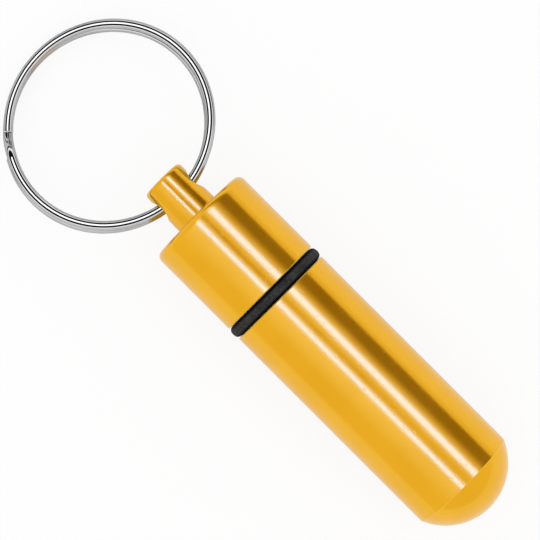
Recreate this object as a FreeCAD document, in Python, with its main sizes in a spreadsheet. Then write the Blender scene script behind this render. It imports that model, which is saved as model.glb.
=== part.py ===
import FreeCAD, Part
import math
import os
import Sketcher
from FreeCAD import Placement, Rotation, Vector

# Pill fob keychain: a turned tube with a domed end, a screw cap with a drilled knob, a rubber O-ring that
# seals the slot between them, and a two-turn split ring through the knob's eye.
# The fob lies on its side. X runs along its axis from the key ring to the dome, Z points up, the floor is
# z = 0, and the origin is on the floor under the middle of the whole fob. Lengths are millimetres.

# Every size that can be set by itself: its name in the sheet, its value and what it measures.
SIZES = [
    ("tube_diameter", 16.0, "outside of the tube and of the cap"),
    ("tube_length", 35.4, "straight wall of the tube, from its mouth to the edge of the dome"),
    ("dome_height", 5.3, "how far the domed end stands out past the straight wall"),
    ("dome_edge", 0.12, "bevel between the straight wall and the dome"),
    ("edge_break", 0.15, "bevel on the outer edges of the mouth and of the cap's rim"),
    ("mouth_wall", 1.3, "wall outside the mouth's thread, at its mean depth"),
    ("thread_lead", 0.25, "bevel that leads the thread in, on the mouth and on the spigot"),
    ("thread_pitch", 1.0, "rise of the cap's thread in one turn"),
    ("thread_turns", 5.5, "turns of thread on the spigot"),
    ("thread_clearance", 0.08, "radial room between the spigot and the mouth"),
    ("thread_runout", 1.0, "threaded depth left free past the end of the spigot"),
    ("tapping_step", 0.28, "how far the chamber's wall stands inside the thread's mean depth"),
    ("chamber_end", 2.2, "from the end of the chamber's straight wall to the edge of the dome"),
    ("drill_slope", 0.6, "depth of a drilled end for each unit of its radius"),
    ("seal_section", 1.75, "thickness of the O-ring"),
    ("seal_inset", 0.05, "how far the O-ring lies below the tube's surface"),
    ("seal_clearance", 0.05, "room between the O-ring and each face of its slot"),
    ("neck_relief", 0.1, "plain neck of the spigot past the mouth's plane"),
    ("spigot_wall", 1.35, "wall of the spigot, from the thread's mean depth to the cap's hollow"),
    ("cap_height", 14.1, "from the cap's rim to its shoulder"),
    ("cap_edge_radius", 1.0, "rounding of the shoulder's outer edge"),
    ("cap_end_wall", 4.0, "from the shoulder to the end of the hollow's straight wall"),
    ("knob_height", 7.0, "from the shoulder to the top of the knob"),
    ("knob_top_diameter", 6.4, "knob at its top, before rounding"),
    ("knob_base_diameter", 6.8, "knob where it leaves the shoulder"),
    ("knob_edge_radius", 0.6, "rounding of the knob's top edge"),
    ("knob_foot_radius", 0.3, "hollow rounding where the knob leaves the shoulder"),
    ("eye_depth", 3.1, "from the knob's top to the middle of its eye"),
    ("eye_clearance", 0.12, "room for the turning key ring in the eye"),
    ("eye_edge_radius", 0.2, "rounding of the eye's two mouths"),
    ("ring_diameter", 30.0, "outside of the key ring"),
    ("wire_thickness", 1.1, "ring wire along the ring's axis"),
    ("wire_flat", 0.3, "flat on the ring wire, which makes it wider than it is thick"),
    ("coil_gap", 0.45, "space between the two turns of the ring"),
    ("crossing_angle", 10.0, "part of a turn in which the wire climbs to the second turn, in degrees"),
    ("crossing_place", 235.0, "middle of the climb round the ring from the eye, in degrees"),
    ("end_angle", 1.5, "how far each end of the wire stops short of the climb, in degrees"),
]

FULL_TURN = 360.0
QUARTER_TURN = 90.0
ARCS_PER_TURN = 4
SAMPLES_PER_ARC = 24
SAME_LENGTH = 1e-4
SAME_VOLUME = 0.01


class Size:
    """A length with its value and its formula over the sheet's cells, so it can be drawn and then bound."""

    def __init__(self, value, formula):
        self.value = value
        self.formula = formula

    def __add__(self, other):
        return Size(self.value + other.value, f"({self.formula} + {other.formula})")

    def __sub__(self, other):
        return Size(self.value - other.value, f"({self.formula} - {other.formula})")

    def __mul__(self, other):
        return Size(self.value * other.value, f"({self.formula} * {other.formula})")

    def __truediv__(self, number):
        return Size(self.value / number, f"({self.formula} / {number})")


def long_side(first, second):
    """Longest side of a right triangle, from its two other sides."""
    return Size(math.hypot(first.value, second.value), f"hypot({first.formula}; {second.formula})")


def short_side(longest, other):
    """Short side of a right triangle, from its longest side and the other short one."""
    squares = longest * longest - other * other
    return Size(math.sqrt(squares.value), f"sqrt({squares.formula})")


class Sheet:
    """The sheet of sizes. Each size is read as an attribute under its own name."""

    def __init__(self, document):
        table = document.addObject("Spreadsheet::Sheet", "Sizes")
        for row, (name, value, meaning) in enumerate(SIZES, start=1):
            table.set(f"A{row}", meaning)
            table.set(f"B{row}", str(value))
            table.setAlias(f"B{row}", name)
        document.recompute()
        for name, _, _ in SIZES:
            setattr(self, name, Size(float(table.get(name)), f"Sizes.{name}"))


def origin_plane(body, role):
    """One of the body's own origin planes."""
    return next(plane for plane in body.Origin.OriginFeatures if plane.Role == role)


def attach_sketch(body, name):
    """An empty sketch on the plane through the body's axis, with the axis as its horizontal line."""
    sketch = body.newObject("Sketcher::SketchObject", name)
    sketch.AttachmentSupport = (origin_plane(body, "XZ_Plane"), "")
    sketch.MapMode = "FlatFace"
    return sketch


def bind(sketch, kind, places, size):
    """Add a dimension to a sketch and tie it to the sheet."""
    index = sketch.addConstraint(Sketcher.Constraint(kind, *places, size.value))
    sketch.setExpression(f"Constraints[{index}]", size.formula)


def turned_profile(body, name, corners, arc_from=None):
    """Closed outline for a turned form. Each corner is its distance along the axis and its radius, and None
    stands for zero. The edge that starts at corner arc_from is a round one centred on the axis."""
    sketch = attach_sketch(body, name)
    count = len(corners)
    points = [Vector(along.value if along else 0, radius.value if radius else 0, 0)
              for along, radius in corners]
    for index, start in enumerate(points):
        end = points[(index + 1) % count]
        if index == arc_from:
            rise = start.x - end.x
            ball = (end.y ** 2 + rise ** 2) / (2 * rise)
            centre = Vector(start.x - ball, 0, 0)
            circle = Part.Circle(centre, Vector(0, 0, 1), ball)
            edge = Part.ArcOfCircle(circle, 0, math.atan2(end.y, end.x - centre.x))
        else:
            edge = Part.LineSegment(start, end)
        sketch.addGeometry(edge, False)
    for index in range(count):
        sketch.addConstraint(Sketcher.Constraint("Coincident", index, 2, (index + 1) % count, 1))
    if arc_from is not None:
        sketch.addConstraint(Sketcher.Constraint("PointOnObject", arc_from, 3, -1))
    for index, (along, radius) in enumerate(corners):
        if along:
            bind(sketch, "DistanceX", (-1, 1, index, 1), along)
        else:
            sketch.addConstraint(Sketcher.Constraint("PointOnObject", index, 1, -2))
        if radius:
            bind(sketch, "DistanceY", (-1, 1, index, 1), radius)
        else:
            sketch.addConstraint(Sketcher.Constraint("PointOnObject", index, 1, -1))
    return sketch


def turn(body, kind, name, sketch):
    """Revolve a sketch about the body's axis, to add (Revolution) or to cut (Groove)."""
    feature = body.newObject(f"PartDesign::{kind}", name)
    feature.Profile = sketch
    feature.ReferenceAxis = (sketch, ["H_Axis"])
    feature.Angle = FULL_TURN
    body.Document.recompute()
    return feature


def rim_edge(shape, along, radius):
    """Name of the round edge at one place along the axis, with a given radius."""
    for number, edge in enumerate(shape.Edges, start=1):
        curve = edge.Curve
        if not isinstance(curve, Part.Circle):
            continue
        if max(abs(curve.Radius - radius.value), abs(curve.Center.x - along.value)) < SAME_LENGTH:
            return f"Edge{number}"
    raise ValueError(f"no round edge of radius {radius.value} at {along.value}")


def round_edges(body, name, base, edges, radius):
    """Fillet some edges of a feature."""
    fillet = body.newObject("PartDesign::Fillet", name)
    fillet.Base = (base, edges)
    fillet.Radius = radius.value
    fillet.setExpression("Radius", radius.formula)
    body.Document.recompute()
    return fillet


class Fits:
    """Sizes that several pieces share, worked out from the sheet."""

    def __init__(self, size):
        self.radius = size.tube_diameter / 2
        self.mouth_radius = self.radius - size.mouth_wall
        self.chamber_radius = self.mouth_radius - size.tapping_step
        self.spigot_radius = self.mouth_radius - size.thread_clearance
        self.neck_radius = self.radius - size.seal_inset - size.seal_section - size.seal_clearance
        self.seal_radius = self.radius - size.seal_inset - size.seal_section / 2
        self.seal_slot = size.seal_section + size.seal_clearance + size.seal_clearance

        # Distances along the cap, from the top of its knob.
        self.rim = size.knob_height + size.cap_height
        self.mouth = self.rim + self.seal_slot
        self.neck_end = self.mouth + size.neck_relief
        self.thread_start = self.neck_end + self.spigot_radius - self.neck_radius
        self.spigot_end = self.thread_start + size.thread_turns * size.thread_pitch
        self.spigot_reach = self.spigot_end - self.mouth

        # The key ring: the middle line of its wire, its bow inside the eye, and the room that it turns in.
        self.wire_width = size.wire_thickness + size.wire_flat
        self.ring_radius = size.ring_diameter / 2 - self.wire_width / 2
        self.coil_step = size.wire_thickness + size.coil_gap
        self.bow = self.ring_radius - short_side(self.ring_radius, size.knob_base_diameter / 2)
        corner = long_side(size.wire_flat / 2 + self.bow / 2, self.coil_step / 2)
        self.eye_radius = corner + size.wire_thickness / 2 + size.eye_clearance


class Lie:
    """Where the fob lies: the height of its axis, the droop of the key ring and the mouth's place."""

    def __init__(self, size, fits):
        self.axis_height = fits.radius.value
        half_flat = size.wire_flat.value / 2
        half_wire = size.wire_thickness.value / 2
        level = fits.coil_step.value / 2

        # The eye holds the wire half its bow off its middle, so the ring's centre is that much nearer.
        self.ring_reach = fits.ring_radius.value - fits.bow.value / 2
        far_side = self.ring_reach + fits.ring_radius.value

        # The ring drops about the eye until the far side of its lower turn lies on the floor.
        drop = self.axis_height - half_wire
        lever = math.hypot(far_side + half_flat, level)
        self.droop = math.asin(drop / lever) - math.atan2(level, far_side + half_flat)

        eye_along = size.eye_depth.value - fits.mouth.value
        ring_end = eye_along - (far_side + half_flat) * math.cos(self.droop)
        ring_end = ring_end - level * math.sin(self.droop) - half_wire
        dome_end = size.tube_length.value + size.dome_height.value
        self.mouth_place = -(ring_end + dome_end) / 2
        self.eye_place = self.mouth_place + eye_along
        self.length = dome_end - ring_end


def make_tube(document, size, fits, lie):
    """Turned tube: a straight wall with a domed end, bored to a pill chamber with a threaded mouth."""
    body = document.addObject("PartDesign::Body", "tube")
    shell = turned_profile(body, "tube_shell_outline", [
        (None, None),
        (size.tube_length + size.dome_height, None),
        (size.tube_length + size.dome_edge, fits.radius - size.dome_edge),
        (size.tube_length, fits.radius),
        (size.edge_break, fits.radius),
        (None, fits.radius - size.edge_break),
    ], arc_from=1)
    turn(body, "Revolution", "tube_shell", shell)

    threaded_depth = fits.spigot_reach + size.thread_runout
    chamber_depth = size.tube_length - size.chamber_end
    bore = turned_profile(body, "tube_bore_outline", [
        (None, None),
        (chamber_depth + fits.chamber_radius * size.drill_slope, None),
        (chamber_depth, fits.chamber_radius),
        (threaded_depth + size.tapping_step, fits.chamber_radius),
        (threaded_depth, fits.mouth_radius),
        (size.thread_lead, fits.mouth_radius),
        (None, fits.mouth_radius + size.thread_lead),
    ])
    turn(body, "Groove", "tube_bore", bore)
    body.Placement = Placement(Vector(lie.mouth_place, 0, lie.axis_height), Rotation())
    return body


def make_cap(document, size, fits, lie):
    """Turned cap in one piece: a knob with an eye, a round-edged head, a neck for the seal and a spigot."""
    body = document.addObject("PartDesign::Body", "screw_cap")
    knob_top = size.knob_top_diameter / 2
    knob_base = size.knob_base_diameter / 2
    shoulder = size.knob_height
    blank_outline = turned_profile(body, "cap_outline", [
        (None, None),
        (fits.spigot_end, None),
        (fits.spigot_end, fits.spigot_radius - size.thread_lead),
        (fits.spigot_end - size.thread_lead, fits.spigot_radius),
        (fits.thread_start, fits.spigot_radius),
        (fits.neck_end, fits.neck_radius),
        (fits.rim, fits.neck_radius),
        (fits.rim, fits.radius - size.edge_break),
        (fits.rim - size.edge_break, fits.radius),
        (shoulder, fits.radius),
        (shoulder, knob_base),
        (None, knob_top),
    ])
    blank = turn(body, "Revolution", "cap_blank", blank_outline)
    head = round_edges(body, "shoulder_rounding", blank, [rim_edge(blank.Shape, shoulder, fits.radius)],
                       size.cap_edge_radius)
    foot = round_edges(body, "knob_foot", head, [rim_edge(head.Shape, shoulder, knob_base)],
                       size.knob_foot_radius)
    top = Size(0.0, "0")
    round_edges(body, "knob_rounding", foot, [rim_edge(foot.Shape, top, knob_top)], size.knob_edge_radius)

    hollow_radius = fits.spigot_radius - size.spigot_wall
    hollow_end = shoulder + size.cap_end_wall
    hollow = turned_profile(body, "cap_hollow_outline", [
        (hollow_end - hollow_radius * size.drill_slope, None),
        (fits.spigot_end, None),
        (fits.spigot_end, hollow_radius),
        (hollow_end, hollow_radius),
    ])
    turn(body, "Groove", "cap_hollow", hollow)

    eye_circle = attach_sketch(body, "eye_circle")
    eye_circle.addGeometry(Part.Circle(Vector(size.eye_depth.value, 0, 0), Vector(0, 0, 1),
                                       fits.eye_radius.value), False)
    eye_circle.addConstraint(Sketcher.Constraint("PointOnObject", 0, 3, -1))
    bind(eye_circle, "DistanceX", (-1, 1, 0, 3), size.eye_depth)
    bind(eye_circle, "Radius", (0,), fits.eye_radius)
    eye = body.newObject("PartDesign::Pocket", "eye")
    eye.Profile = eye_circle
    eye.SideType = "Symmetric"
    eye.Length = size.tube_diameter.value
    eye.setExpression("Length", size.tube_diameter.formula)
    document.recompute()

    eye_mouths = [f"Edge{number}" for number, edge in enumerate(eye.Shape.Edges, start=1)
                  if rims_eye(eye.Shape, edge)]
    round_edges(body, "eye_rounding", eye, eye_mouths, size.eye_edge_radius)
    place = lie.mouth_place - fits.mouth.value
    body.Placement = Placement(Vector(place, 0, lie.axis_height), Rotation())
    return body


def rims_eye(shape, edge):
    """Whether an edge is a mouth of the eye: a curved edge of the round wall that runs along Y."""
    if edge.Degenerated or isinstance(edge.Curve, Part.Line):
        return False
    for face in shape.ancestorsOfType(edge, Part.Face):
        wall = face.Surface
        if isinstance(wall, Part.Cylinder) and abs(wall.Axis.y) > abs(wall.Axis.x):
            return True
    return False


def make_seal(document, size, fits, lie):
    """Rubber O-ring in the slot between the cap's rim and the tube's mouth."""
    seal = document.addObject("Part::Torus", "o_ring")
    seal.Radius1 = fits.seal_radius.value
    seal.setExpression("Radius1", fits.seal_radius.formula)
    seal.Radius2 = size.seal_section.value / 2
    seal.setExpression("Radius2", (size.seal_section / 2).formula)
    place = lie.mouth_place - fits.seal_slot.value / 2
    seal.Placement = Placement(Vector(place, 0, lie.axis_height), Rotation(Vector(0, 1, 0), QUARTER_TURN))
    return seal


def ring_point(fits, degrees, height):
    """Point on the middle line of a level turn of the ring, in the ring's own frame."""
    angle = math.radians(degrees)
    radius = fits.ring_radius.value
    return Vector(radius * math.cos(angle), radius * math.sin(angle), height)


def ring_heading(degrees):
    """Direction of a level turn of the ring at one angle."""
    angle = math.radians(degrees)
    return Vector(-math.sin(angle), math.cos(angle), 0)


def level_arcs(fits, start, end, height):
    """Arcs of about a quarter turn that follow one level turn of the ring."""
    step = (end - start) / ARCS_PER_TURN
    for index in range(ARCS_PER_TURN):
        first = start + index * step
        yield Part.Arc(ring_point(fits, first, height), ring_point(fits, first + step / 2, height),
                       ring_point(fits, first + step, height))


def arc_along(start, heading, end):
    """Arc from start, along heading, to end. Its middle lies off the chord by half the turn's tangent."""
    chord = end - start
    ahead = chord.dot(heading)
    across = heading * ahead - chord * (ahead ** 2 / chord.Length ** 2)
    side = math.sqrt(chord.Length ** 2 - ahead ** 2)
    turned = math.atan2(side, ahead)
    height = chord.Length / 2 * math.tan(turned / 2)
    middle = (start + end) * 0.5 + across.normalize() * height
    return Part.Arc(start, middle, end)


def crossing_arcs(start, start_heading, end, end_heading):
    """Two arcs that leave start and reach end along the given headings, and meet smoothly between them."""
    chord = end - start
    headings = start_heading + end_heading
    square = 4 - headings.dot(headings)
    linear = chord.dot(headings)
    reach = (math.sqrt(linear ** 2 + square * chord.dot(chord)) - linear) / square
    middle = (start + start_heading * reach + end - end_heading * reach) * 0.5
    first = arc_along(start, start_heading, middle)
    last = arc_along(end, end_heading * -1, middle)
    return [first, Part.Arc(middle, last.value((last.FirstParameter + last.LastParameter) / 2), end)]


def ring_path(size, fits):
    """Middle line of the ring's wire: a low turn, the climb, and a high turn that ends over its start."""
    level = fits.coil_step.value / 2
    half_climb = size.crossing_angle.value / 2
    climb = size.crossing_place.value
    low_end = climb - half_climb
    high_start = climb + half_climb
    low_start = high_start + size.end_angle.value - FULL_TURN
    high_end = low_end - size.end_angle.value + FULL_TURN
    arcs = list(level_arcs(fits, low_start, low_end, -level))
    arcs += crossing_arcs(ring_point(fits, low_end, -level), ring_heading(low_end),
                          ring_point(fits, high_start, level), ring_heading(high_start))
    arcs += list(level_arcs(fits, high_start, high_end, level))
    return arcs


def least_coil_gap(arcs, size):
    """Least space between two stretches of the wire that lie over each other, measured on points."""
    half_flat = size.wire_flat.value / 2
    half_wire = size.wire_thickness.value / 2
    points = []
    for arc in arcs:
        step = (arc.LastParameter - arc.FirstParameter) / SAMPLES_PER_ARC
        points += [arc.value(arc.FirstParameter + step * index) for index in range(SAMPLES_PER_ARC)]
    apart = SAMPLES_PER_ARC * ARCS_PER_TURN // 2
    gaps = []
    for index, point in enumerate(points):
        for other in points[index + apart:]:
            line = other - point
            if line.Length > size.ring_diameter.value / 2:
                continue
            flatness = math.hypot(line.x, line.y) / line.Length
            gaps.append(line.Length - 2 * (half_wire + half_flat * flatness))
    return min(gaps)


def wire_section(document, size):
    """Section of the ring's wire: two flats joined by half rounds."""
    sketch = document.addObject("Sketcher::SketchObject", "wire_section")
    half_wire = size.wire_thickness.value / 2
    half_flat = size.wire_flat.value / 2
    out = Vector(half_flat, 0, 0)
    up = Vector(0, half_wire, 0)
    normal = Vector(0, 0, 1)
    quarter = math.radians(QUARTER_TURN)
    edges = [
        Part.ArcOfCircle(Part.Circle(out, normal, half_wire), -quarter, quarter),
        Part.LineSegment(out + up, up - out),
        Part.ArcOfCircle(Part.Circle(out * -1, normal, half_wire), quarter, 3 * quarter),
        Part.LineSegment(out * -1 - up, out - up),
    ]
    sketch.addGeometry(edges, False)
    for index in range(len(edges)):
        sketch.addConstraint(Sketcher.Constraint("Tangent", index, 2, (index + 1) % len(edges), 1))
    sketch.addConstraint(Sketcher.Constraint("PointOnObject", 0, 3, -1))
    sketch.addConstraint(Sketcher.Constraint("Symmetric", 0, 3, 2, 3, -1, 1))
    bind(sketch, "Radius", (0,), size.wire_thickness / 2)
    bind(sketch, "DistanceX", (2, 3, 0, 3), size.wire_flat)
    return sketch


def make_ring(document, size, fits, lie):
    """Split ring: one wire in two turns, drooping from the eye to the floor."""
    arcs = ring_path(size, fits)
    print(f"least gap between the ring's turns: {least_coil_gap(arcs, size):.3f} mm")
    path = document.addObject("Part::Feature", "ring_path")
    path.Shape = Part.Wire([arc.toShape() for arc in arcs])

    # The section stands across the start of the wire, with its flats level.
    section = wire_section(document, size)
    start = arcs[0].value(arcs[0].FirstParameter)
    outward = Vector(start.x, start.y, 0)
    ahead = arcs[0].tangent(arcs[0].FirstParameter)[0]
    section.Placement = Placement(start, Rotation(outward, Vector(0, 0, 1), ahead, "ZXY"))

    ring = document.addObject("Part::Sweep", "split_ring")
    ring.Sections = [section]
    ring.Spine = (path, [f"Edge{number}" for number in range(1, len(arcs) + 1)])
    ring.Solid = True
    ring.Frenet = False
    document.recompute()
    expected = Part.Face(section.Shape.Wires[0]).Area * path.Shape.Length
    if abs(ring.Shape.Volume - expected) > SAME_VOLUME * expected:
        raise RuntimeError("the ring's volume isn't its section times its length")

    droop = Rotation(Vector(0, 1, 0), -math.degrees(lie.droop))
    eye = Vector(lie.eye_place, 0, lie.axis_height)
    centre = eye + droop.multVec(Vector(-lie.ring_reach, 0, 0))
    ring.Placement = Placement(centre, droop)
    return ring


def check(document, pieces):
    """Stop if an object failed, or if a piece isn't one sound solid."""
    failed = [item.Name for item in document.Objects if {"Invalid", "Error"} & set(item.State)]
    if failed:
        raise RuntimeError(f"these objects failed: {', '.join(failed)}")
    for piece in pieces:
        shape = piece.Shape
        if shape.isNull() or not shape.isValid() or len(shape.Solids) != 1:
            raise RuntimeError(f"{piece.Label} isn't one sound solid")


def main():
    document = FreeCAD.newDocument("pill_fob")
    size = Sheet(document)
    fits = Fits(size)
    lie = Lie(size, fits)
    pieces = [
        make_tube(document, size, fits, lie),
        make_cap(document, size, fits, lie),
        make_seal(document, size, fits, lie),
        make_ring(document, size, fits, lie),
    ]
    document.recompute()
    check(document, pieces)

    os.makedirs("parts", exist_ok=True)
    for piece in pieces:
        piece.Shape.exportStep(f"parts/{piece.Label}.step")
        box = piece.Shape.optimalBoundingBox(False)
        print(f"{piece.Label}: {piece.Shape.Volume:.2f} mm3, x {box.XMin:.3f} to {box.XMax:.3f}, "
              f"y {box.YMin:.3f} to {box.YMax:.3f}, z {box.ZMin:.3f} to {box.ZMax:.3f}")
    print(f"mouth at x {lie.mouth_place:.4f}, eye at x {lie.eye_place:.4f}, axis at z {lie.axis_height:.4f}")
    print(f"ring droop {math.degrees(lie.droop):.4f} degrees, length {lie.length:.3f}")


main()
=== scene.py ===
"""Key fob for pills: a turned gold tube, its screw cap, the rubber seal and the split ring."""
import math
from collections import namedtuple

import bmesh
import bpy
import numpy as np
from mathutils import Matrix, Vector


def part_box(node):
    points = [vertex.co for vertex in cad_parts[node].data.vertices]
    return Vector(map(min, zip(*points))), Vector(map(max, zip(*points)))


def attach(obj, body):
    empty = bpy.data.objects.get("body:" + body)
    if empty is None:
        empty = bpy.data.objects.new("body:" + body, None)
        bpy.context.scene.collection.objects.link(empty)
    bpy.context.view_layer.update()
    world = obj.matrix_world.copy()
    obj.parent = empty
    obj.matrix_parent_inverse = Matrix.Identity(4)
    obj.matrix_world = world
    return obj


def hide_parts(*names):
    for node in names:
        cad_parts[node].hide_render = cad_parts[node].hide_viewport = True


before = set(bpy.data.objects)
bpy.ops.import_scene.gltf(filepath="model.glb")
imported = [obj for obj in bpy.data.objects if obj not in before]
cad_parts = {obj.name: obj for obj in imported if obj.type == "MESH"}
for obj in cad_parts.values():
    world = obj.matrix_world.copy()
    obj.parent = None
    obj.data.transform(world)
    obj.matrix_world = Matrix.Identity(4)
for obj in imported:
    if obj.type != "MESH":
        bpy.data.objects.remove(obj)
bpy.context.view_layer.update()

# Lengths are in millimetres, unless a comment says metres.
MM = 0.001


def box_mm(node):
    """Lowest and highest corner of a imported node, in millimetres."""
    low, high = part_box(node)
    return np.array(low) / MM, np.array(high) / MM


# Places along the fob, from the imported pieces.
tube_low, tube_high = box_mm("tube")
cap_low, cap_high = box_mm("screw_cap")
MOUTH = tube_low[0]
DOME_TIP = tube_high[0]
AXIS_HEIGHT = (tube_low[2] + tube_high[2]) / 2
KNOB_TOP = cap_low[0]
SPIGOT_TIP = cap_high[0]

# How finely the turned surfaces are divided: faces round the axis, the row beside each edge and the
# most of a run that it may take, and the steps of an arc.
AROUND = 192
SUPPORT = 0.05
SUPPORT_MOST_SHARE = 0.25
ARC_STEP = math.radians(10)
ARC_STEPS_LEAST = 3

# Rows this close are one row. Corners this close, in metres, are merged. Edges that turn more than this
# are sharp.
SAME_ROW = 1e-6
MERGE_METRES = 1e-7
SHARP_FROM = math.radians(38)

# Outer sizes of the tube and the cap.
RADIUS = 8.0
EDGE_BREAK = 0.15
EDGE_SOFTNESS = 0.05
TUBE_LENGTH = 35.4
DOME_EDGE = 0.08
DOME_ROWS = 49
KNOB_HEIGHT = 7.0
CAP_HEIGHT = 14.1
KNOB_TOP_RADIUS = 3.2
KNOB_BASE_RADIUS = 3.4
KNOB_EDGE = 0.6
KNOB_FOOT = 0.3
CAP_EDGE = 1.0

# The bores and the thread. The wall of a thread runs from its inner radius out by twice its half depth.
THREAD_PITCH = 1.0
THREAD_HALF_DEPTH = 0.28
TAPPED_INNER = 6.42
SPIGOT_INNER = 6.34
THREAD_LEAD = 0.63
THREAD_DEPTH_IN_TUBE = 7.2
THREAD_RUNOUT = 0.8
ROWS_PER_PITCH = 20
CHAMBER_DEPTH = 33.2
DRILL_SLOPE = 0.6
DRILL_CORNER = 0.4
NECK_RADIUS = 6.15
NECK_RELIEF = 0.1
SPIGOT_TIP_RADIUS = 6.3
SPIGOT_LIP = 0.15
HOLLOW_RADIUS = 5.27
CAP_END_WALL = 4.0

# The eye through the knob.
EYE_DEPTH = 3.1
EYE = KNOB_TOP + EYE_DEPTH
EYE_RADIUS = 1.522
EYE_LIP = 0.22
EYE_WINDOW = 2.3
EYE_WINDOW_ROWS = 24
EYE_WINDOW_COLUMNS = 28
EYE_APRON_ROWS = 9
EYE_LIP_ROWS = 8
EYE_TUNNEL_ROWS = 8

# The seal in its slot. The crown is given as shares of the half height; the sides below it are painted
# dark as the shade of the slot.
SEAL_RADIUS = 7.17
SEAL_HALF_HEIGHT = 0.965
SEAL_HALF_WIDTH = 0.9
SEAL_FULLNESS = 2.6
SEAL_CROWN = (0.80, 0.97)
SEAL_SLOT = 1.85
SEAL_FLASH = 0.025
SEAL_FLASH_ANGLE = math.radians(3.5)
SEAL_ROWS = 72

# The split ring: one wire in two turns. The start, climb and end are in degrees round the ring.
RING_RADIUS = 14.3
RING_REACH = 14.12
RING_DROOP = math.radians(13.55)
RING_LEVEL = 0.775
RING_STAGGER_AHEAD = 0.13
RING_STAGGER_ASIDE = 0.185
RING_START = -118.5
CLIMB_START = 226.0
CLIMB_END = 244.0
RING_END = 588.5
WIRE_HALF_THICKNESS = 0.55
WIRE_HALF_WIDTH = 0.7
WIRE_END_ROUND = 0.16
WIRE_END_ROWS = 7
WIRE_ROWS = 520
WIRE_COLUMNS = 48

# Noise lies mostly in this range, and a share goes from none to full.
NOISE_RANGE = (0.3, 0.7)
NONE_TO_FULL = (0.0, 1.0)

# The gold finish. Here and in the other finishes, a pattern is its scale, in cells for each metre, its
# detail and, if it is not plain, its roughness. A bump is its strength and its depth in metres.
GOLD_DYE = ((0.86, 0.442, 0.0065, 1), (0.91, 0.476, 0.0095, 1))
# A pale gold on the chamfers beside the seal and on the eye's lip: speckled wear and a painted highlight.
GOLD_WEAR_AND_HIGHLIGHT = (1.0, 0.70, 0.10, 1)
GOLD_METALLIC = 0.74
GOLD_IOR = 1.85
GOLD_ROUGHNESS = (0.12, 0.165)
GOLD_ROUGHNESS_IN_LINES = (-0.02, 0.03)
GOLD_ROUGHNESS_WORN = 0.2
GOLD_CLOUDS = (160.0, 4.0)
GOLD_SPECKS = (2600.0, 3.0)
GOLD_SPECK_RANGE = (0.3, 0.5)
GOLD_SPECK_MARK_SHARE = (0.3, 1.0)
GOLD_GRIT = (6000.0, 2.0)
GOLD_PIT_SCALE = 1300.0
GOLD_PIT_EDGE = (0.0, 0.2)
GOLD_LINE_BUMP = (0.12, 0.000012)
GOLD_GRIT_BUMP = (0.7, 0.00001)
GOLD_PIT_BUMP = (1.0, 0.000011)

# The lathe's lines: their spacing along the profile, and how fast they change across the fob, for each
# metre.
LATHE_SPACING = 0.09
LATHE_CHANGE = 60.0

# The rubber finish. Its sides are painted near black as the shade of the slot.
RUBBER_PAINTED_SHADE = (0.0015, 0.0015, 0.0015, 1)
RUBBER_CROWN = ((0.012, 0.012, 0.010, 1), (0.054, 0.055, 0.048, 1))
RUBBER_SPECULAR = 0.06
RUBBER_ROUGHNESS = (0.6, 0.8)
RUBBER_BLOOM = (700.0, 5.0, 0.65)
RUBBER_GRAIN = (4000.0, 2.0)
RUBBER_GRAIN_SHARE = 0.5
RUBBER_PATCH_RANGE = (0.36, 0.66)
RUBBER_BUMP = (0.25, 0.00004)

# Up to this roughness a finish counts as a mirror.
MIRROR_ROUGHNESS = 0.003

# The steel finish of the ring.
STEEL_PLATING = ((0.46, 0.46, 0.465, 1), (0.54, 0.54, 0.545, 1))
STEEL_PITTED = (0.28, 0.28, 0.285, 1)
STEEL_CUT_END = (0.66, 0.66, 0.665, 1)
STEEL_CUT_SHARE = 0.7
STEEL_EDGE_TINT = (0.5, 0.5, 0.5, 1)
STEEL_HAZE = (220.0, 4.0)
STEEL_HAZE_RANGE = (0.35, 0.7)
STEEL_PITS = (5200.0, 2.0)
STEEL_PIT_RANGE = (0.6, 0.75)
STEEL_PIT_SHARE = (0.0, 0.6)
STEEL_LINE_BUMP = (0.1, 0.00001)
STEEL_PIT_BUMP = (0.08, 0.00001)

# The die's lines along the wire: changes for each millimetre along it and across it.
DIE_CHANGE_ALONG = 0.25
DIE_CHANGE_ACROSS = 14.0

# The floor, in metres. The camera sees through it to the white tent by a share, and metal sees it by
# another share as pure white.
WHITE = (1, 1, 1, 1)
FLOOR_HALF = 1.5
FLOOR_COLOUR = (0.95, 0.95, 0.95, 1)
FLOOR_SEEN_THROUGH = 0.86
FLOOR_WHITE_IN_METAL = 0.3

# The studio above the fob. A cloth or strip is given by four degrees round the fob's axis from straight
# up, where it begins, is full, is full no more and ends, by four places along the axis for the same, as
# shares of the direction, and by its colour. Each one hangs in front of those above it in the list. All
# metal shows the cloths. Only satin metal shows the strips, whose cool light comes back cream from the
# gold, and the dim cloth at their end.
Hung = namedtuple("Hung", "round_axis reach colour")
SKY_IN_GOLD = (0.90, 0.825, 0.50, 1)
NARROW_STRIP = (-15.5, -10.0, -8.5, -2.5)
WIDE_STRIP = (17.0, 24.5, 29.5, 36.0)
OVER_FOB = (-0.36, -0.26, 0.16, 0.45)
PAST_BOTH_ENDS = (-0.84, -0.70, 0.58, 0.70)
CLOTHS = (
    Hung((1.5, 4.0, 6.0, 9.0), (-0.56, -0.42, 0.03, 0.11), (0.35, 0.21, 0.0, 1)),
    Hung((33.0, 55.0, 76.0, 79.5), (-0.56, -0.42, 0.18, 0.56), (0.10, 0.010, 0.0, 1)),
)
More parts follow.
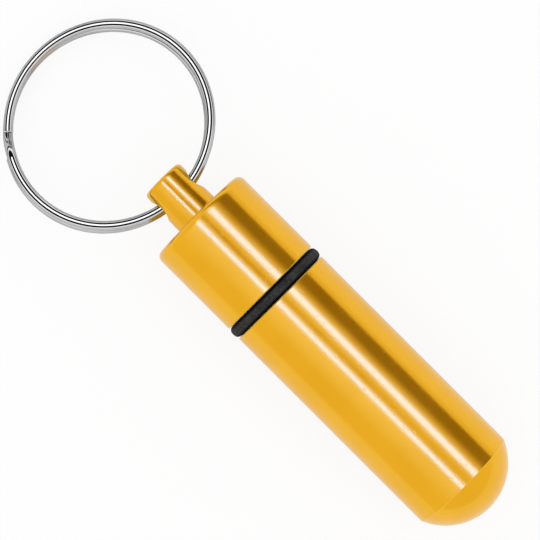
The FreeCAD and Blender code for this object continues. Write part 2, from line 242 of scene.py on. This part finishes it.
STRIPS = (
    Hung((-62.0, -18.0, -6.0, 0.0), (-0.36, -0.26, 0.18, 0.45), (1.01, 1.05, 1.67, 1)),
    Hung(NARROW_STRIP, PAST_BOTH_ENDS, (1.10, 1.50, 7.0, 1)),
    Hung(WIDE_STRIP, PAST_BOTH_ENDS, (1.10, 1.50, 7.0, 1)),
    Hung(NARROW_STRIP, OVER_FOB, (1.30, 2.45, 31.0, 1)),
    Hung(WIDE_STRIP, OVER_FOB, (1.28, 2.25, 25.0, 1)),
    Hung((33.0, 55.0, 73.5, 81.5), (-1.2, -1.1, -0.52, -0.40), (0.27, 0.19, 0.06, 1)),
)

# The lamp over the key ring, which its wire mirrors: the lamp's tilt, and degrees from its middle to
# its edge, to the edge of the dark shade round it, and over the bright rim round the shade.
LAMP_TILT = 2 * RING_DROOP
LAMP_EDGE = (11.0, 14.0)
SHADE_EDGE = (43.0, 49.0)
LAMP_RIM = (43.0, 49.0, 58.0, 70.0)
LAMP_LIGHT = 2.6
SHADE_LIGHT = 0.01
RIM_LIGHT = 1.55

# A dark curtain low behind the key ring, which its wire mirrors: its height and its reach along the
# fob, as shares of the direction.
CURTAIN_HEIGHT = (-0.1, 0.0, 0.10, 0.18)
CURTAIN_REACH = (-1.2, -1.1, -0.6, -0.4)
CURTAIN_LIGHT = 0.04

# The camera stands behind the mouth, to the side of the axis and above the floor. Its nearest sight is
# in metres.
CAMERA_BACK = 3.625
CAMERA_ASIDE = 1.69
CAMERA_HEIGHT = 383.0
CAMERA_TURN = math.radians(45.0)
CAMERA_LENS = 182.2
CAMERA_SENSOR = 36.0
CAMERA_NEAREST = 0.01


def straight(start, end):
    """Rows on a straight run of a profile: start plus a share of the way to end.

    A row close beside each end keeps the shading of the long faces straight.
    """
    start, end = np.array(start, float), np.array(end, float)
    beside = min(SUPPORT / np.linalg.norm(end - start), SUPPORT_MOST_SHARE)
    shares = np.array([0, beside, 1 - beside, 1])
    return start + shares[:, None] * (end - start)


def rounded(corners):
    """Rows (x, radius, edge mark) of a profile through corners (x, radius, rounding, edge mark).

    At a corner the run turns by an angle. The arc leaves the run at rounding times the tangent of half
    that angle before the corner, and a point on it is the start, plus rounding times the sine along the
    old heading, plus rounding times one less the cosine towards the new one. The edge mark, speckled wear
    and a painted highlight on the gold, is that of the run up to the corner, and it changes evenly over
    the arc to that of the next run. The rounding and the mark are 0 if not given.
    """
    points = np.array([corner[:2] for corner in corners], float)
    rounds = [corner[2] if len(corner) > 2 else 0.0 for corner in corners]
    edge_marks = [corner[3] if len(corner) > 3 else 0.0 for corner in corners]
    headings = np.diff(points, axis=0)
    headings = headings / np.linalg.norm(headings, axis=1, keepdims=True)
    rows = []
    leave = points[0]
    for index in range(1, len(points)):
        before = headings[index - 1]
        arrive = points[index]
        arc = np.empty((0, 2))
        if index < len(points) - 1 and rounds[index] > 0:
            after = headings[index]
            turn = math.acos(np.clip(before @ after, -1, 1))
            cut = rounds[index] * math.tan(turn / 2)
            side = (after - before * math.cos(turn)) / math.sin(turn)
            steps = max(ARC_STEPS_LEAST, math.ceil(turn / ARC_STEP))
            angle = np.linspace(0, turn, steps + 1)[:, None]
            arrive = points[index] - cut * before
            arc = arrive + rounds[index] * (np.sin(angle) * before + (1 - np.cos(angle)) * side)
        run = straight(leave, arrive)
        next_mark = edge_marks[min(index + 1, len(points) - 1)]
        rows.append(np.column_stack([run, np.full(len(run), edge_marks[index])]))
        rows.append(np.column_stack([arc, np.linspace(edge_marks[index], next_mark, len(arc))]))
        leave = arc[-1] if len(arc) else points[index]
    return np.vstack(rows)


def without_repeats(profile):
    """The profile with each row that lies on the one before it left out."""
    steps = np.linalg.norm(np.diff(profile[:, :2], axis=0), axis=1)
    return profile[np.concatenate([[True], steps > SAME_ROW])]


def turned(x, radius):
    """Points of a turned surface: y and z are the radius times the cosine and sine of the turn."""
    angle = np.arange(AROUND) * 2 * np.pi / AROUND
    x = np.broadcast_to(x[:, None], (len(x), AROUND))
    radius = np.broadcast_to(radius if radius.ndim == 2 else radius[:, None], x.shape)
    return np.stack([x, radius * np.cos(angle), AXIS_HEIGHT + radius * np.sin(angle)], axis=-1)


def thread_wave(x):
    """Depth of a right-hand thread, 0 to 1.

    It is half of one plus the sine of the turns along the axis less the turns round it.
    """
    turns = np.arange(AROUND) / AROUND
    return 0.5 + 0.5 * np.sin(2 * np.pi * ((x[:, None] - MOUTH) / THREAD_PITCH - turns))


def row_run(points):
    """Distance along a grid's rows, on its first column, spread over all columns."""
    steps = np.linalg.norm(np.diff(points[:, 0], axis=0), axis=1)
    run = np.concatenate([[0], np.cumsum(steps)])
    return np.broadcast_to(run[:, None], points.shape[:2])


class Grid:
    """Points in rows and columns, closed round the columns, with what the finishes read at each point.

    That is its mark of wear and painted light, how far along the rows and how far across the wire. Faces
    that are not to keep are left out.
    """

    def __init__(self, points, wear_and_painted_light=None, along=None, around=None, keep=None):
        shape = points.shape[:2]
        self.points = points
        self.wear_and_painted_light = np.zeros(shape) if wear_and_painted_light is None else np.broadcast_to(wear_and_painted_light, shape)
        self.along = row_run(points) if along is None else np.broadcast_to(along, shape)
        self.around = np.zeros(shape) if around is None else np.broadcast_to(around, shape)
        self.keep = np.ones((shape[0] - 1, shape[1]), bool) if keep is None else keep

    def faces(self, first):
        """Four-cornered faces between neighbouring rows and columns, numbered from first."""
        number = first + np.arange(self.wear_and_painted_light.size).reshape(self.wear_and_painted_light.shape)
        beside = np.roll(number, -1, axis=1)
        quads = np.stack([number[:-1], number[1:], beside[1:], beside[:-1]], axis=-1)
        return quads[self.keep]


def make_piece(name, grids, node, body, finish):
    """One closed mesh from grids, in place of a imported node. Seams and poles are merged by distance."""
    counts = np.cumsum([0] + [grid.wear_and_painted_light.size for grid in grids])
    faces = np.vstack([grid.faces(first) for grid, first in zip(grids, counts)])
    used, faces = np.unique(faces, return_inverse=True)
    points = np.vstack([grid.points.reshape(-1, 3) for grid in grids])[used] * MM
    mesh = bpy.data.meshes.new(name)
    mesh.from_pydata(points, [], faces.reshape(-1, 4))
    for label in ("wear_and_painted_light", "along", "around"):
        values = np.concatenate([getattr(grid, label).ravel() for grid in grids])[used]
        mesh.attributes.new(label, "FLOAT", "POINT").data.foreach_set("value", values.astype(np.float32))
    shell = bmesh.new()
    shell.from_mesh(mesh)
    bmesh.ops.remove_doubles(shell, verts=shell.verts, dist=MERGE_METRES)
    bmesh.ops.recalc_face_normals(shell, faces=shell.faces)
    shell.to_mesh(mesh)
    shell.free()
    mesh.shade_smooth()
    mesh.set_sharp_from_angle(angle=SHARP_FROM)
    mesh.materials.append(finish)
    piece = bpy.data.objects.new(name, mesh)
    bpy.context.scene.collection.objects.link(piece)
    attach(piece, body)
    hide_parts(node)


def mouth_wall(x):
    """Radius of the mouth before its thread is cut: a cone at 45 degrees that narrows to the bore."""
    return np.maximum(TAPPED_INNER + THREAD_LEAD - (x - MOUTH), TAPPED_INNER)


def tube_grid():
    """The tube as one turned surface, from the chamber's drill point over the mouth to the dome's tip.

    In the mouth the wall is the inner radius plus twice the half depth times the thread's wave, which
    fades out at the run-out, and the lead is a cone that is never narrower than the thread. The dome is
    part of a ball, whose radius is the rise squared plus the half width squared, over twice the rise.
    """
    chamber_end = MOUTH + CHAMBER_DEPTH
    thread_end = MOUTH + THREAD_DEPTH_IN_TUBE
    wall_end = MOUTH + TUBE_LENGTH
    inside = rounded([
        (chamber_end + TAPPED_INNER * DRILL_SLOPE, 0),
        (chamber_end, TAPPED_INNER, DRILL_CORNER),
        (thread_end, TAPPED_INNER),
    ])
    thread_x = np.linspace(thread_end, MOUTH, round(THREAD_DEPTH_IN_TUBE * ROWS_PER_PITCH) + 1)[1:]
    thread = np.column_stack([thread_x, mouth_wall(thread_x), 0 * thread_x])
    outside = rounded([
        (MOUTH, TAPPED_INNER + THREAD_LEAD),
        (MOUTH, RADIUS - EDGE_BREAK, EDGE_SOFTNESS),
        # This corner's 1 gives the chamfer before it the pale edge mark: wear and a painted highlight.
        (MOUTH + EDGE_BREAK, RADIUS, EDGE_SOFTNESS, 1),
        (wall_end, RADIUS, EDGE_SOFTNESS),
        (wall_end + DOME_EDGE, RADIUS - DOME_EDGE),
    ])
    rise = DOME_TIP - wall_end - DOME_EDGE
    half_width = RADIUS - DOME_EDGE
    ball = (rise ** 2 + half_width ** 2) / (2 * rise)
    slope = np.linspace(math.asin(half_width / ball), 0, DOME_ROWS)
    dome = np.column_stack([DOME_TIP - ball + ball * np.cos(slope), ball * np.sin(slope), 0 * slope])
    profile = without_repeats(np.vstack([inside, thread, outside, dome]))
    x, base = profile[:, 0], profile[:, 1]
    fade = np.clip((thread_end - x) / THREAD_RUNOUT, 0, 1)[:, None]
    cut = TAPPED_INNER + 2 * THREAD_HALF_DEPTH * fade * thread_wave(x)
    threaded = (np.abs(base - mouth_wall(x)) < SAME_ROW) & (x < thread_end)
    radius = np.where(threaded[:, None], np.maximum(base[:, None], cut), base[:, None])
    return Grid(turned(x, radius), wear_and_painted_light=profile[:, 2:3])


def knob_radius(x):
    """Radius of the knob's wall, which widens evenly from its top to its foot."""
    return KNOB_TOP_RADIUS + (KNOB_BASE_RADIUS - KNOB_TOP_RADIUS) * (x - KNOB_TOP) / KNOB_HEIGHT


def eye_grid(rim):
    """The eye's wall as one sleeve, from the knob's wall on one side through the knob to the other.

    Each column keeps its direction from the eye's axis. It runs in over the knob's wall from rim, the
    edge of the window that is left open there, turns over the lip on a quarter round, and goes straight
    through. Over the wall, the distance across the knob is the root of the wall's radius squared less
    the height squared.
    """
    out = rim[:, [0, 2]] - [EYE, AXIS_HEIGHT]
    reach = np.linalg.norm(out, axis=1)
    heading = out / reach[:, None]
    lip = EYE_RADIUS + EYE_LIP
    share = np.linspace(0, 1, EYE_APRON_ROWS + 1)[:, None]
    turn = np.linspace(0, np.pi / 2, EYE_LIP_ROWS + 1)[1:, None]
    over_wall = reach + share * (lip - reach)
    over_lip = EYE_RADIUS + EYE_LIP * (1 - np.sin(turn)) + 0 * reach
    distance = np.vstack([over_wall, over_lip])
    sunk = np.vstack([0 * over_wall, EYE_LIP * (1 - np.cos(turn)) + 0 * reach])
    place = distance[:, :, None] * heading
    wall = knob_radius(EYE + place[..., 0])
    across = np.sqrt(wall ** 2 - place[..., 1] ** 2) - sunk
    half = np.stack([EYE + place[..., 0], across, AXIS_HEIGHT + place[..., 1]], axis=-1)
    through = np.linspace(1, -1, EYE_TUNNEL_ROWS + 1)[1:-1, None, None]
    tunnel = half[-1] * np.array([1, 0, 1]) + through * half[-1] * np.array([0, 1, 0])
    # The lip carries the gold's pale edge mark: wear and a painted highlight.
    wear_and_painted_light = np.concatenate([np.zeros(EYE_APRON_ROWS + 1), np.linspace(0, 1, EYE_LIP_ROWS)])
    wear_and_painted_light = np.concatenate([wear_and_painted_light, np.zeros(EYE_TUNNEL_ROWS - 1), wear_and_painted_light[::-1]])
    other = half[::-1] * np.array([1, -1, 1])
    return Grid(np.concatenate([half, tunnel, other]), wear_and_painted_light=wear_and_painted_light[:, None])


def cap_grids():
    """The cap as one turned surface from the knob's top over the rim, neck and spigot into the hollow.

    On the spigot the wall is the inner radius plus twice the half depth times the thread's wave, held
    under the cone of the neck and the cone of the tip. A window is left open on each side of the knob
    for the eye's sleeve, which starts from the corners all round the window.
    """
    shoulder = KNOB_TOP + KNOB_HEIGHT
    rim = shoulder + CAP_HEIGHT
    neck_end = MOUTH + NECK_RELIEF
    hollow_end = shoulder + CAP_END_WALL
    window_x = np.linspace(EYE - EYE_WINDOW, EYE + EYE_WINDOW, EYE_WINDOW_ROWS + 1)
    window = np.column_stack([window_x, knob_radius(window_x), 0 * window_x])
    above = rounded([(KNOB_TOP, 0), (KNOB_TOP, KNOB_TOP_RADIUS, KNOB_EDGE), tuple(window[0, :2])])
    below = rounded([
        tuple(window[-1, :2]),
        (shoulder, KNOB_BASE_RADIUS, KNOB_FOOT),
        (shoulder, RADIUS, CAP_EDGE),
        (rim - EDGE_BREAK, RADIUS, EDGE_SOFTNESS),
        # This corner's 1 gives the chamfer before it the pale edge mark: wear and a painted highlight.
        (rim, RADIUS - EDGE_BREAK, EDGE_SOFTNESS, 1),
        (rim, NECK_RADIUS, EDGE_SOFTNESS),
        (neck_end, NECK_RADIUS),
    ])
    spigot_rows = round((SPIGOT_TIP - neck_end) * ROWS_PER_PITCH)
    spigot_x = np.linspace(neck_end, SPIGOT_TIP, spigot_rows + 1)[1:]
    cone = np.minimum(NECK_RADIUS + spigot_x - neck_end, SPIGOT_TIP_RADIUS + SPIGOT_TIP - spigot_x)
    spigot = np.column_stack([spigot_x, cone, 0 * spigot_x])
    hollow = rounded([
        (SPIGOT_TIP, SPIGOT_TIP_RADIUS),
        (SPIGOT_TIP, HOLLOW_RADIUS, SPIGOT_LIP),
        (hollow_end, HOLLOW_RADIUS, DRILL_CORNER),
        (hollow_end - HOLLOW_RADIUS * DRILL_SLOPE, 0),
    ])
    profile = without_repeats(np.vstack([above, window[1:], below, spigot, hollow]))
    x, base = profile[:, 0], profile[:, 1]
    crest = SPIGOT_INNER + 2 * THREAD_HALF_DEPTH * thread_wave(x)
    past_neck = x > neck_end
    radius = np.where(past_neck[:, None], np.minimum(base[:, None], crest), base[:, None])
    points = turned(x, radius)

    first = int(np.argmin(np.abs(x[:len(above) + 2] - window_x[0])))
    last = first + EYE_WINDOW_ROWS
    keep = np.ones((len(x) - 1, AROUND), bool)
    across = np.arange(-EYE_WINDOW_COLUMNS, EYE_WINDOW_COLUMNS + 1)
    keep[first:last, across[:-1] % AROUND] = False
    keep[first:last, (across[:-1] + AROUND // 2) % AROUND] = False
    down = np.arange(first, last + 1)
    level = 0 * across[:-1]
    upright = 0 * down[:-1]
    rows = np.concatenate([level + first, down[:-1], level + last, down[:0:-1]])
    sides = np.concatenate([across[:-1], upright + across[-1], across[:0:-1], upright + across[0]])
    return [Grid(points, wear_and_painted_light=profile[:, 2:3], keep=keep), eye_grid(points[rows, sides % AROUND])]


def seal_grid():
    """The rubber ring, squeezed between the cap and the tube: a full oval turned round the axis.

    The oval's distance from its middle is one over a root, which the fullness names, of the sum of two
    powers: the cosine over the half width and the sine over the half height, each to that power. A thin
    flash from the mould stands out on the outer line, as a bell curve of the angle round the section.
    The crown above the slot is marked to keep the rubber's own colour; the sides below it get painted
    shade.
    """
    angle = np.linspace(0, 2 * np.pi, SEAL_ROWS + 1) + np.pi
    off_line = np.angle(np.exp(1j * (angle - np.pi / 2)))
    flash = SEAL_FLASH * np.exp(-(off_line / SEAL_FLASH_ANGLE) ** 2)
    across = np.abs(np.cos(angle) / SEAL_HALF_WIDTH) ** SEAL_FULLNESS
    outward = np.abs(np.sin(angle) / SEAL_HALF_HEIGHT) ** SEAL_FULLNESS
    oval = (across + outward) ** (-1 / SEAL_FULLNESS)
    x = MOUTH - SEAL_SLOT / 2 + oval * np.cos(angle)
    radius = SEAL_RADIUS + (oval + flash) * np.sin(angle)
    # The crown's share: above it the rubber keeps its own colour, below it the sides get painted shade.
    crown = np.interp((radius - SEAL_RADIUS) / SEAL_HALF_HEIGHT, SEAL_CROWN, NONE_TO_FULL)
    return Grid(turned(x, radius), wear_and_painted_light=crown[:, None])


def ring_grid():
    """The split ring's wire: an oval section carried along two turns.

    The middle line is a circle drooping from the eye. Its level rises between the turns as two
    parabolas that meet halfway, and by the same share the turns lie off each other ahead and to the
    side. The oval's half width and half thickness go with the cosine and sine of the angle round it,
    and shrink over a quarter round at each end of the wire.
    """
    end = np.linspace(0, 1, WIRE_END_ROWS)
    round_off = WIRE_END_ROUND * (1 - np.sqrt(1 - (1 - end) ** 2))
    end_step = np.degrees(WIRE_END_ROUND * end / RING_RADIUS)
    middle = np.linspace(RING_START + end_step[-1], RING_END - end_step[-1], WIRE_ROWS)[1:-1]
    first_end = np.concatenate([[RING_START], RING_START + end_step])
    last_end = np.concatenate([RING_END - end_step[::-1], [RING_END]])
    turn = np.concatenate([first_end, middle, last_end])
    end_shrink = np.concatenate([[WIRE_HALF_WIDTH], round_off])
    shrink = np.concatenate([end_shrink, 0 * middle, end_shrink[::-1]])
    share = np.clip((turn - CLIMB_START) / (CLIMB_END - CLIMB_START), 0, 1)
    climb = np.where(share < 0.5, 2 * share ** 2, 1 - 2 * (1 - share) ** 2)
    side = (2 * climb - 1)[:, None]

    oval = np.arange(WIRE_COLUMNS) * 2 * np.pi / WIRE_COLUMNS
    wide = (WIRE_HALF_WIDTH - shrink)[:, None]
    thick = np.maximum(WIRE_HALF_THICKNESS - shrink, 0)[:, None]
    outward = RING_RADIUS + wide * np.cos(oval)
    upward = RING_LEVEL * side + thick * np.sin(oval)
    angle = np.radians(turn)[:, None]
    ahead = outward * np.cos(angle) - RING_REACH + RING_STAGGER_AHEAD * side
    aside = outward * np.sin(angle) + RING_STAGGER_ASIDE * side
    x = EYE + ahead * math.cos(RING_DROOP) - upward * math.sin(RING_DROOP)
    z = AXIS_HEIGHT + ahead * math.sin(RING_DROOP) + upward * math.cos(RING_DROOP)
    points = np.stack([x, aside, z], axis=-1)
    wear_and_painted_light = (shrink > 0).astype(float)[:, None]
    return Grid(points, wear_and_painted_light=wear_and_painted_light, along=angle * RING_RADIUS, around=np.cos(oval)[None] * WIRE_HALF_WIDTH)


def new_finish(name):
    """A new material: returns the material, its node tree and its shader."""
    finish = bpy.data.materials.new(name)
    finish.use_nodes = True
    tree = finish.node_tree
    return finish, tree, tree.nodes["Principled BSDF"]


def add(tree, kind, inputs=None, **settings):
    """A node of the given kind. A value goes on its socket, and another node's output is linked to it."""
    node = tree.nodes.new("ShaderNode" + kind)
    for name, value in settings.items():
        setattr(node, name, value)
    for name, value in (inputs or {}).items():
        if isinstance(value, bpy.types.NodeSocket):
            tree.links.new(value, node.inputs[name])
        else:
            node.inputs[name].default_value = value
    return node


def maths(tree, operation, first, second=0.0):
    """The output of one step of arithmetic."""
    return add(tree, "Math", {0: first, 1: second}, operation=operation).outputs[0]


def between(tree, value, from_range, to_range, smooth=False):
    """A value carried from one range to another, held at its ends."""
    kind = "SMOOTHSTEP" if smooth else "LINEAR"
    low, high = from_range
    to_low, to_high = to_range
    inputs = {"Value": value, "From Min": low, "From Max": high, "To Min": to_low, "To Max": to_high}
    return add(tree, "MapRange", inputs, interpolation_type=kind).outputs["Result"]


def span(tree, value, begin, full, full_end, end):
    """A share that rises smoothly from 0 at begin to 1 at full, and falls from full_end to 0 at end."""
    rise = between(tree, value, (begin, full), (0.0, 1.0), smooth=True)
    fall = between(tree, value, (full_end, end), (1.0, 0.0), smooth=True)
    return maths(tree, "MULTIPLY", rise, fall)


def mixed(tree, share, first, second):
    """A colour between two, by share."""
    return add(tree, "Mix", {0: share, 6: first, 7: second}, data_type="RGBA").outputs[2]


def mixed_number(tree, share, first, second):
    """A number between two, by share."""
    return add(tree, "Mix", {0: share, 2: first, 3: second}).outputs[0]


def cloud(tree, place, scale, detail, roughness=0.5):
    """Soft noise, about 0 to 1, at a place."""
    inputs = {"Vector": place, "Scale": scale, "Detail": detail, "Roughness": roughness}
    return add(tree, "TexNoise", inputs).outputs["Fac"]


def at_point(tree, label):
    """What the grids say of each point: its mark of wear and painted light, along or around."""
    return add(tree, "Attribute", attribute_name=label).outputs["Fac"]


def bump(tree, height, strength, depth, over=None):
    """The normal of a surface that rises with height, over another such normal if one is given."""
    inputs = {"Height": height, "Strength": strength, "Distance": depth}
    if over is not None:
        inputs["Normal"] = over
    return add(tree, "Bump", inputs).outputs["Normal"]


def lathe_lines(tree, place):
    """Rings left by the lathe: noise that changes quickly along the profile and slowly round the axis."""
    split = add(tree, "SeparateXYZ", {"Vector": place})
    lines = add(tree, "CombineXYZ", {
        "X": maths(tree, "MULTIPLY", at_point(tree, "along"), 1 / LATHE_SPACING),
        "Y": maths(tree, "MULTIPLY", split.outputs["Y"], LATHE_CHANGE),
        "Z": maths(tree, "MULTIPLY", split.outputs["Z"], LATHE_CHANGE),
    }).outputs[0]
    return cloud(tree, lines, scale=1.0, detail=2.0)


def gold_anodised():
    """Bright gold anodised aluminium: clouds in the dye, lathe lines, grit, pits, and pale edges.

    The pale edges are speckled wear and a painted highlight.
    """
    finish, tree, shader = new_finish("gold_anodised")
    place = add(tree, "TexCoord").outputs["Object"]
    clouds = cloud(tree, place, *GOLD_CLOUDS)
    specks = cloud(tree, place, *GOLD_SPECKS)
    grit = cloud(tree, place, *GOLD_GRIT)
    from_pit = add(tree, "TexVoronoi", {"Vector": place, "Scale": GOLD_PIT_SCALE}).outputs["Distance"]
    pits = between(tree, from_pit, GOLD_PIT_EDGE, NONE_TO_FULL, smooth=True)
    lines = lathe_lines(tree, place)
    speckled = between(tree, specks, GOLD_SPECK_RANGE, GOLD_SPECK_MARK_SHARE)
    # The pale edge mark, speckled: wear and a painted highlight on the chamfers and the eye's lip.
    wear_and_highlight = maths(tree, "MULTIPLY", at_point(tree, "wear_and_painted_light"), speckled)
    dye = mixed(tree, between(tree, clouds, NOISE_RANGE, NONE_TO_FULL), *GOLD_DYE)
    colour = mixed(tree, wear_and_highlight, dye, GOLD_WEAR_AND_HIGHLIGHT)
    smudge = between(tree, clouds, NOISE_RANGE, GOLD_ROUGHNESS)
    grain = between(tree, lines, NOISE_RANGE, GOLD_ROUGHNESS_IN_LINES)
    rubbed = maths(tree, "MULTIPLY", wear_and_highlight, GOLD_ROUGHNESS_WORN)
    rough = maths(tree, "ADD", maths(tree, "ADD", smudge, grain), rubbed)
    with_lines = bump(tree, lines, *GOLD_LINE_BUMP)
    with_grit = bump(tree, grit, *GOLD_GRIT_BUMP, over=with_lines)
    with_pits = bump(tree, pits, *GOLD_PIT_BUMP, over=with_grit)
    tree.links.new(colour, shader.inputs["Base Color"])
    tree.links.new(rough, shader.inputs["Roughness"])
    tree.links.new(with_pits, shader.inputs["Normal"])
    shader.inputs["Metallic"].default_value = GOLD_METALLIC
    shader.inputs["IOR"].default_value = GOLD_IOR
    return finish


def seal_rubber():
    """Black moulded rubber: dull, with a fine grain, and patches of grey bloom on its crown.

    Its sides are painted near black as the shade of the slot.
    """
    finish, tree, shader = new_finish("seal_rubber")
    place = add(tree, "TexCoord").outputs["Object"]
    bloom = cloud(tree, place, *RUBBER_BLOOM)
    grain = cloud(tree, place, *RUBBER_GRAIN)
    bloom_part = maths(tree, "MULTIPLY", bloom, 1 - RUBBER_GRAIN_SHARE)
    grain_part = maths(tree, "MULTIPLY", grain, RUBBER_GRAIN_SHARE)
    patches = maths(tree, "ADD", bloom_part, grain_part)
    crown = mixed(tree, between(tree, patches, RUBBER_PATCH_RANGE, NONE_TO_FULL), *RUBBER_CROWN)
    # The sides below the crown get a near black colour: painted shade of the slot.
    colour = mixed(tree, at_point(tree, "wear_and_painted_light"), RUBBER_PAINTED_SHADE, crown)
    tree.links.new(colour, shader.inputs["Base Color"])
    tree.links.new(between(tree, bloom, NOISE_RANGE, RUBBER_ROUGHNESS), shader.inputs["Roughness"])
    tree.links.new(bump(tree, grain, *RUBBER_BUMP), shader.inputs["Normal"])
    shader.inputs["Specular IOR Level"].default_value = RUBBER_SPECULAR
    return finish


def ring_steel():
    """Bright plated spring wire, mirror smooth, with haze, pits, die lines and pale cut ends."""
    finish, tree, shader = new_finish("ring_steel")
    place = add(tree, "TexCoord").outputs["Object"]
    streak_place = add(tree, "CombineXYZ", {
        "X": maths(tree, "MULTIPLY", at_point(tree, "along"), DIE_CHANGE_ALONG),
        "Y": maths(tree, "MULTIPLY", at_point(tree, "around"), DIE_CHANGE_ACROSS),
    }).outputs[0]
    streaks = cloud(tree, streak_place, scale=1.0, detail=2.0)
    haze = cloud(tree, place, *STEEL_HAZE)
    pits = cloud(tree, place, *STEEL_PITS)
    plating = mixed(tree, between(tree, haze, STEEL_HAZE_RANGE, NONE_TO_FULL), *STEEL_PLATING)
    pitted = mixed(tree, between(tree, pits, STEEL_PIT_RANGE, STEEL_PIT_SHARE), plating, STEEL_PITTED)
    cut = maths(tree, "MULTIPLY", at_point(tree, "wear_and_painted_light"), STEEL_CUT_SHARE)
    colour = mixed(tree, cut, pitted, STEEL_CUT_END)
    with_lines = bump(tree, streaks, *STEEL_LINE_BUMP)
    with_pits = bump(tree, pits, *STEEL_PIT_BUMP, over=with_lines)
    tree.links.new(colour, shader.inputs["Base Color"])
    tree.links.new(between(tree, haze, NOISE_RANGE, (0.0, MIRROR_ROUGHNESS)), shader.inputs["Roughness"])
    tree.links.new(with_pits, shader.inputs["Normal"])
    shader.inputs["Metallic"].default_value = 1.0
    shader.inputs["Specular Tint"].default_value = STEEL_EDGE_TINT
    return finish


def white_floor():
    """Plain white floor under the fob, with its soft shadow.

    The metal sees it part way to pure white. The camera sees part way through it to the white tent, so
    that what swings below it is not cut off.
    """
    finish, tree, shader = new_finish("white_floor")
    shader.inputs["Base Color"].default_value = FLOOR_COLOUR
    shader.inputs["Roughness"].default_value = 1.0
    shader.inputs["Specular IOR Level"].default_value = 0.0
    path = add(tree, "LightPath")
    mirrored = maths(tree, "MAXIMUM", path.outputs["Is Glossy Ray"], path.outputs["Is Transmission Ray"])
    sights = (
        (mirrored, FLOOR_WHITE_IN_METAL, add(tree, "Emission", {"Color": WHITE, "Strength": 1.0})),
        (path.outputs["Is Camera Ray"], FLOOR_SEEN_THROUGH, add(tree, "BsdfTransparent")),
    )
    surface = shader
    for ray, most, seen_as in sights:
        share = maths(tree, "MULTIPLY", ray, most)
        surface = add(tree, "MixShader", {0: share, 1: surface.outputs[0], 2: seen_as.outputs[0]})
    tree.links.new(surface.outputs[0], tree.nodes["Material Output"].inputs["Surface"])
    mesh = bpy.data.meshes.new("floor")
    half = FLOOR_HALF
    corners = [(-half, -half, 0), (half, -half, 0), (half, half, 0), (-half, half, 0)]
    mesh.from_pydata(corners, [], [(0, 1, 2, 3)])
    mesh.materials.append(finish)
    floor = bpy.data.objects.new("floor", mesh)
    bpy.context.scene.collection.objects.link(floor)


def light_in_wire(tree, toward, way, light):
    """What the mirror-bright wire shows: the light in grey, the lamp, its shade and rim, and the curtain.

    The lamp, the shade and the rim go by the angle from the lamp's middle, the arc cosine of the
    direction along it.
    """
    lamp_way = (-math.sin(LAMP_TILT), 0.0, math.cos(LAMP_TILT))
    facing = add(tree, "VectorMath", {0: toward, 1: lamp_way}, operation="DOT_PRODUCT").outputs["Value"]
    from_lamp = maths(tree, "DEGREES", maths(tree, "ARCCOSINE", facing))
    lamp = between(tree, from_lamp, LAMP_EDGE, (LAMP_LIGHT, SHADE_LIGHT), smooth=True)
    shade = between(tree, from_lamp, SHADE_EDGE, (1.0, 0.0), smooth=True)
    low = span(tree, way.outputs["Z"], *CURTAIN_HEIGHT)
    curtain = maths(tree, "MULTIPLY", low, span(tree, way.outputs["X"], *CURTAIN_REACH))
    grey = add(tree, "RGBToBW", {"Color": light}).outputs[0]
    grey = mixed_number(tree, span(tree, from_lamp, *LAMP_RIM), grey, RIM_LIGHT)
    grey = mixed_number(tree, shade, grey, lamp)
    grey = mixed_number(tree, curtain, grey, CURTAIN_LIGHT)
    return add(tree, "CombineColor", {"Red": grey, "Green": grey, "Blue": grey}).outputs[0]


def studio():
    """White tent all round. Metal also shows cloths, strip lights and a shaded lamp, by direction.

    The place round the fob's axis is the arc tangent of the direction's y over its z.
    """
    world = bpy.data.worlds.new("studio")
    world.use_nodes = True
    bpy.context.scene.world = world
    tree = world.node_tree
    toward = add(tree, "TexCoord").outputs["Generated"]
    way = add(tree, "SeparateXYZ", {"Vector": toward})
    round_axis = maths(tree, "DEGREES", maths(tree, "ARCTAN2", way.outputs["Y"], way.outputs["Z"]))
    path = add(tree, "LightPath")
    glossy, mirror = path.outputs["Is Glossy Ray"], path.outputs["Is Singular Ray"]
    satin = maths(tree, "SUBTRACT", glossy, mirror)

    def hang(light, hung, rays):
        """The light with one cloth or strip in front of it, for the rays that see it."""
        shown = maths(tree, "MULTIPLY", span(tree, way.outputs["X"], *hung.reach), rays)
        share = maths(tree, "MULTIPLY", span(tree, round_axis, *hung.round_axis), shown)
        return mixed(tree, share, light, hung.colour)

    light = mixed(tree, satin, WHITE, SKY_IN_GOLD)
    for cloth in CLOTHS:
        light = hang(light, cloth, glossy)
    light = mixed(tree, mirror, light, light_in_wire(tree, toward, way, light))
    for strip in STRIPS:
        light = hang(light, strip, satin)
    tree.links.new(light, tree.nodes["Background"].inputs["Color"])


def photo_camera():
    """Camera straight above the fob with a long lens, turned so that the fob lies aslant."""
    camera = bpy.data.cameras.new("camera")
    camera.sensor_width = CAMERA_SENSOR
    camera.lens = CAMERA_LENS
    camera.clip_start = CAMERA_NEAREST
    stand = bpy.data.objects.new("camera", camera)
    stand.location = ((MOUTH - CAMERA_BACK) * MM, CAMERA_ASIDE * MM, CAMERA_HEIGHT * MM)
    stand.rotation_euler = (0, 0, CAMERA_TURN)
    bpy.context.scene.collection.objects.link(stand)
    bpy.context.scene.camera = stand


gold = gold_anodised()
make_piece("gold_tube", [tube_grid()], "tube", "tube_body", gold)
make_piece("gold_cap", cap_grids(), "screw_cap", "cap_body", gold)
make_piece("rubber_seal", [seal_grid()], "o_ring", "seal_body", seal_rubber())
make_piece("wire_ring", [ring_grid()], "split_ring", "ring_body", ring_steel())
white_floor()
studio()
photo_camera()
bpy.context.scene.view_settings.view_transform = "Standard"
